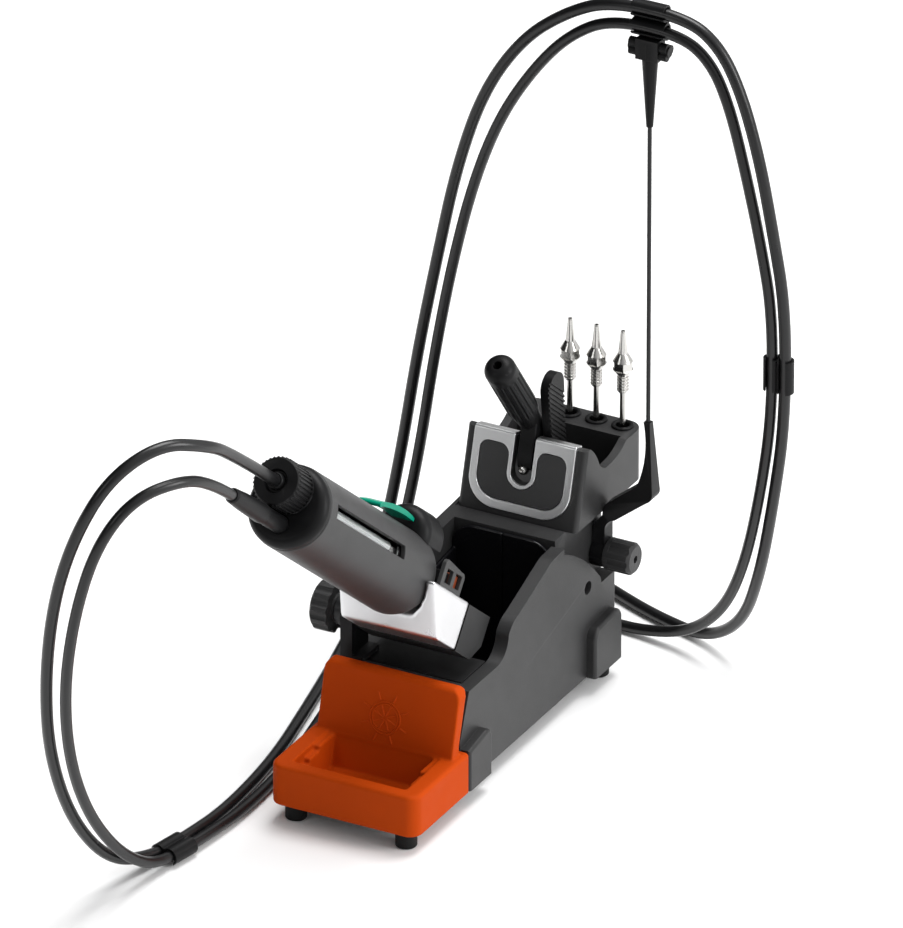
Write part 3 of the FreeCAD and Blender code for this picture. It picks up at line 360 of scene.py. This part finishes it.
def tubes(name, lines, radius):
    """One mesh of thin round beads along the lines, each a list of row-frame points."""
    grid = bmesh.new()
    for line in lines:
        part = tube_mesh(name + "_bead", line, radius, sides=BEAD_SIDES)
        grid.from_mesh(part)
        bpy.data.meshes.remove(part)
    mesh = bpy.data.meshes.new(name)
    grid.to_mesh(mesh)
    grid.free()
    return mesh


# A plain ring with radial lines in the middle of the tray's leaning panel, made of thin beads.
RING_CENTRE = Vector((-1.0, 42.65, 41.0))
RING_RADIUS = 7.6
RING_STEPS = 48
RING_SPACING = 1.3              # between the ring's two beads
RING_RAYS = 8
RAY_INSIDE = (1.0, RING_RADIUS - 1.6)
RAY_OUTSIDE = (RING_RADIUS + 0.8, RING_RADIUS + 4.6)
RING_BEAD = 0.00038
PANEL_UP = Vector((0.0, 8.8, 34.8)).normalized()
PANEL_ACROSS = Vector((1.0, 0.0, 0.0))


def on_panel(reach, angle):
    return row(RING_CENTRE + (PANEL_ACROSS * math.cos(angle) + PANEL_UP * math.sin(angle)) * reach)


def make_tray_ring(materials):
    lines = []
    for radius in (RING_RADIUS, RING_RADIUS - RING_SPACING):
        lines.append([on_panel(radius, 2 * math.pi * step / RING_STEPS) for step in range(RING_STEPS + 1)])
    for number in range(RING_RAYS):
        angle = 2 * math.pi * (number + 0.5) / RING_RAYS
        for ray in (RAY_INSIDE, RAY_OUTSIDE):
            lines.append([on_panel(reach, angle) for reach in ray])
    loose_piece("tray_ring", tubes("tray_ring", lines, RING_BEAD), "orange_silicone", "tray", materials)


def turned_mesh(name, profile, centre, axis, sides=32):
    """A mesh turned about an axis; the profile is (radius, height) in millimetres from the centre."""
    turn = Vector((0, 0, 1)).rotation_difference(axis)
    vertices, faces = [], []
    for radius, height in profile:
        for step in range(sides):
            angle = 2 * math.pi * step / sides
            point = turn @ Vector((radius * math.cos(angle), radius * math.sin(angle), height))
            vertices.append(row(centre + point))
    for ring in range(len(profile) - 1):
        for step in range(sides):
            following = (step + 1) % sides
            low, high = ring * sides, (ring + 1) * sides
            faces.append((low + step, low + following, high + following, high + step))
    faces.append(tuple(reversed(range(sides))))
    faces.append(tuple(range(len(vertices) - sides, len(vertices))))
    mesh = bpy.data.meshes.new(name)
    mesh.from_pydata(vertices, [], faces)
    mesh.update()
    return mesh


NOZZLE_PROFILE = [
    (1.0, -2.2), (2.0, -1.8), (2.5, -0.6), (2.4, 0.6), (1.7, 1.8), (1.2, 2.6), (0.6, 2.7), (0.5, 1.4),
]
NOZZLE_CENTRE = Vector((0.0, 173.2, 106.6))
NOZZLE_AXIS = Vector((0.0, -0.7, 0.3)).normalized()


def make_hook_nozzle(materials):
    """The small bright nozzle at the foot of the tool that hangs in the holder's slot."""
    mesh = turned_mesh("hook_nozzle", NOZZLE_PROFILE, NOZZLE_CENTRE, NOZZLE_AXIS)
    loose_piece("hook_nozzle", mesh, "bright_steel", "hook_tool", materials)


# The glass tube's axis, and the filling's place off it, in the iron's frame.
TUBE_TURN = math.radians(13.0)
TUBE_REACH = 10.4
FILTER_OFF_ACROSS, FILTER_OFF_UP = 0.8, 2.6
FILTER_STATIONS = (-84.0, -83.4, -50.0, -13.0, -12.4)
FILTER_RADIUS = 0.0021


def make_filter(materials):
    """The white filling behind the window, lying along the glass tube's bore."""
    across = TUBE_REACH * math.cos(TUBE_TURN) + FILTER_OFF_ACROSS
    up = TUBE_REACH * math.sin(TUBE_TURN) + FILTER_OFF_UP
    line = [on_iron(across, up, back) for back in FILTER_STATIONS]
    mesh = tubes("filter_plug_finish", [line], FILTER_RADIUS)
    piece = link(bpy.data.objects.new("filter_plug_finish", mesh))
    smooth_shade(piece, 40.0)
    adopt(piece, "filter_plug", materials)


# ---------------------------------------------------------------- hose and cable

HOSE_ROUTE = [
    (0.0, -61.4, 209.5), (0.0, -102.8, 242.4), (1.0, -126.0, 256.5), (-10.0, -147.0, 264.0),
    (-24.0, -167.0, 253.0), (-37.0, -175.0, 226.0), (-51.0, -170.0, 188.0), (-62.0, -159.0, 141.0),
    (-70.0, -142.0, 93.0), (-73.0, -117.0, 47.0), (-70.0, -89.0, 14.0), (-63.6, -61.7, 4.15),
    (-58.9, -37.0, 4.15), (-56.5, -5.0, 2.9), (-60.0, 45.0, 2.9), (-70.0, 95.0, 2.9),
    (-81.0, 145.0, 2.9), (-87.0, 180.0, 10.0), (-84.0, 196.0, 42.0), (-75.0, 197.0, 90.0),
    (-67.0, 197.0, 140.0), (-57.0, 197.0, 190.0), (-47.0, 197.0, 238.0), (-33.0, 196.5, 280.0),
    (-13.0, 196.0, 311.0), (10.0, 195.0, 330.0), (33.0, 194.3, 341.0), (71.0, 194.3, 341.0),
    (87.0, 194.3, 331.0), (98.0, 194.3, 311.0), (107.5, 194.3, 280.0), (114.5, 194.3, 245.0),
    (121.4, 194.3, 207.0), (121.4, 194.3, 150.0), (114.0, 198.0, 106.0), (102.0, 209.0, 62.0),
    (84.0, 227.0, 24.0), (58.0, 242.0, 2.9), (30.0, 249.0, 2.9), (2.0, 261.0, 2.9), (-22.0, 273.0, 2.9),
]
CABLE_ROUTE = [
    (0.0, -100.7, 220.15), (0.0, -116.0, 232.3), (-3.0, -137.0, 244.0), (-16.0, -160.0, 242.0),
    (-29.0, -171.0, 220.0), (-42.0, -168.0, 181.0), (-53.0, -158.0, 137.0), (-60.0, -142.0, 94.0),
    (-63.0, -121.0, 56.0), (-62.5, -97.0, 26.0), (-59.5, -78.0, 10.0), (-57.1, -63.0, 4.15),
    (-52.4, -38.3, 4.15), (-49.0, -2.0, 2.9), (-52.0, 47.0, 2.9), (-61.0, 97.0, 2.9),
    (-71.0, 145.0, 2.9), (-78.0, 180.0, 10.0), (-75.5, 196.0, 42.0), (-66.0, 197.0, 90.0),
    (-58.5, 197.0, 140.0), (-49.0, 197.0, 190.0), (-38.0, 197.0, 234.0), (-24.0, 196.0, 270.0),
    (-6.0, 195.5, 299.0), (12.0, 194.6, 319.5), (33.0, 194.3, 332.0), (68.0, 194.3, 332.0),
    (83.0, 194.3, 322.0), (92.5, 194.3, 302.0), (101.0, 194.3, 270.0), (108.8, 194.3, 236.0),
    (114.8, 194.3, 203.0), (114.8, 194.3, 152.0), (108.0, 197.0, 110.0), (96.0, 206.0, 68.0),
    (79.0, 219.0, 34.0), (56.0, 230.0, 11.0), (30.0, 234.0, 2.9), (4.0, 235.0, 2.9), (-18.0, 236.0, 2.9),
]
CORD_SIDES = 24
CORD_STEPS = 14                 # points read between two control points


def spline_points(name, route):
    """Points read along the smooth curve that has the route as its control points."""
    curve = bpy.data.curves.new(name + "_line", "CURVE")
    curve.dimensions = "3D"
    curve.resolution_u = CORD_STEPS
    spline = curve.splines.new("NURBS")
    spline.points.add(len(route) - 1)
    for point, place in zip(spline.points, route):
        point.co = (*row(place), 1.0)
    spline.order_u = 3
    spline.use_endpoint_u = True
    holder = link(bpy.data.objects.new(name + "_line", curve))
    mesh = bpy.data.meshes.new_from_object(holder)
    points = [vertex.co.copy() for vertex in mesh.vertices]
    bpy.data.objects.remove(holder)
    return points


def tube_mesh(name, points, radius, sides=CORD_SIDES):
    """A closed round tube along the points, carried along without twist."""
    vertices, faces = [], []
    heading = (points[1] - points[0]).normalized()
    side = heading.orthogonal().normalized()
    for index, point in enumerate(points):
        before = points[max(index - 1, 0)]
        after = points[min(index + 1, len(points) - 1)]
        ahead = (after - before).normalized()
        side.rotate(heading.rotation_difference(ahead))
        heading = ahead
        other = heading.cross(side)
        for step in range(sides):
            angle = 2 * math.pi * step / sides
            vertices.append(point + (side * math.cos(angle) + other * math.sin(angle)) * radius)
    for ring in range(len(points) - 1):
        first = ring * sides
        for step in range(sides):
            following = (step + 1) % sides
            faces.append((first + step, first + following, first + sides + following, first + sides + step))
    faces.append(tuple(reversed(range(sides))))
    faces.append(tuple(range(len(vertices) - sides, len(vertices))))
    mesh = bpy.data.meshes.new(name)
    mesh.from_pydata(vertices, [], faces)
    mesh.update()
    return mesh


def make_cord(name, route, diameter_mm, nodes, materials):
    points = spline_points(name, route)
    piece = link(bpy.data.objects.new(name, tube_mesh(name, points, diameter_mm / 2000)))
    piece.data.materials.append(materials["hose_rubber"])
    smooth_shade(piece, 50.0)
    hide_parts(*nodes)
    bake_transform(piece)
    return piece


def make_cords(materials):
    make_cord("hose_run", HOSE_ROUTE, 5.5, ["hose_first_stretch", "vacuum_hose"],
              materials)
    make_cord("cable_run", CABLE_ROUTE, 5.2, ["iron_cable"], materials)


# ---------------------------------------------------------------- floor and light

FLOOR_HALF = 12.0
FLOOR_DROP = 0.0002
FLOOR_PAINT = (0.93, 0.93, 0.93, 1)


def make_floor():
    mesh = bpy.data.meshes.new("floor")
    corners = [(-FLOOR_HALF, -FLOOR_HALF, 0), (FLOOR_HALF, -FLOOR_HALF, 0), (FLOOR_HALF, FLOOR_HALF, 0),
               (-FLOOR_HALF, FLOOR_HALF, 0)]
    mesh.from_pydata(corners, [], [(0, 1, 2, 3)])
    floor = link(bpy.data.objects.new("floor", mesh))
    floor.location.z = -FLOOR_DROP
    pale = bpy.data.materials.new("floor_paint")
    pale.use_nodes = True
    shader = pale.node_tree.nodes["Principled BSDF"]
    shader.inputs["Base Color"].default_value = FLOOR_PAINT
    shader.inputs["Roughness"].default_value = 0.85
    mesh.materials.append(pale)


def area_light(name, place, aim, width, height, watts):
    data = bpy.data.lights.new(name, "AREA")
    data.shape = "RECTANGLE"
    data.size = width
    data.size_y = height
    data.energy = watts
    light = link(bpy.data.objects.new(name, data))
    light.location = place
    light.rotation_euler = (Vector(aim) - Vector(place)).to_track_quat("-Z", "Y").to_euler()


SKY_TOWARDS = (0.8, 0.3, 0.52)  # where the sky is brightest
SKY_FROM, SKY_TO = -0.1, 0.9
SKY_DARK, SKY_BRIGHT = 0.04, 1.15
LAMP_AIM = (0.0, 0.0, 0.12)
# Each lamp's name, place, width, height and watts.
LAMPS = [
    ("top", (0.1, 0.5, 1.9), 1.2, 0.9, 34),
    ("side", (1.6, 0.2, 0.8), 0.5, 1.0, 14),
    ("front", (-0.7, -1.6, 1.0), 0.35, 0.8, 3.0),
]


def make_light():
    """A bright sky to the right, above and behind, and a dark one in front, with soft lamps."""
    world = bpy.data.worlds.new("world")
    bpy.context.scene.world = world
    world.use_nodes = True
    tree = world.node_tree
    background = tree.nodes["Background"]
    background.inputs["Color"].default_value = (1.0, 1.0, 1.0, 1)
    direction = tree.nodes.new("ShaderNodeTexCoord").outputs["Generated"]
    towards = tree.nodes.new("ShaderNodeVectorMath")
    towards.operation = "DOT_PRODUCT"
    towards.inputs[1].default_value = SKY_TOWARDS
    tree.links.new(direction, towards.inputs[0])
    fall = tree.nodes.new("ShaderNodeMapRange")
    fall.inputs["From Min"].default_value = SKY_FROM
    fall.inputs["From Max"].default_value = SKY_TO
    fall.inputs["To Min"].default_value = SKY_DARK
    fall.inputs["To Max"].default_value = SKY_BRIGHT
    tree.links.new(towards.outputs["Value"], fall.inputs["Value"])
    tree.links.new(fall.outputs["Result"], background.inputs["Strength"])
    for name, place, width, height, watts in LAMPS:
        area_light(name, place, LAMP_AIM, width, height, watts)
    bpy.context.scene.view_settings.view_transform = "Standard"


make_camera()
finishes = make_materials()
make_hard_pieces(finishes)
make_tray_ring(finishes)
make_hook_nozzle(finishes)
make_filter(finishes)
make_cords(finishes)
make_floor()
make_light()
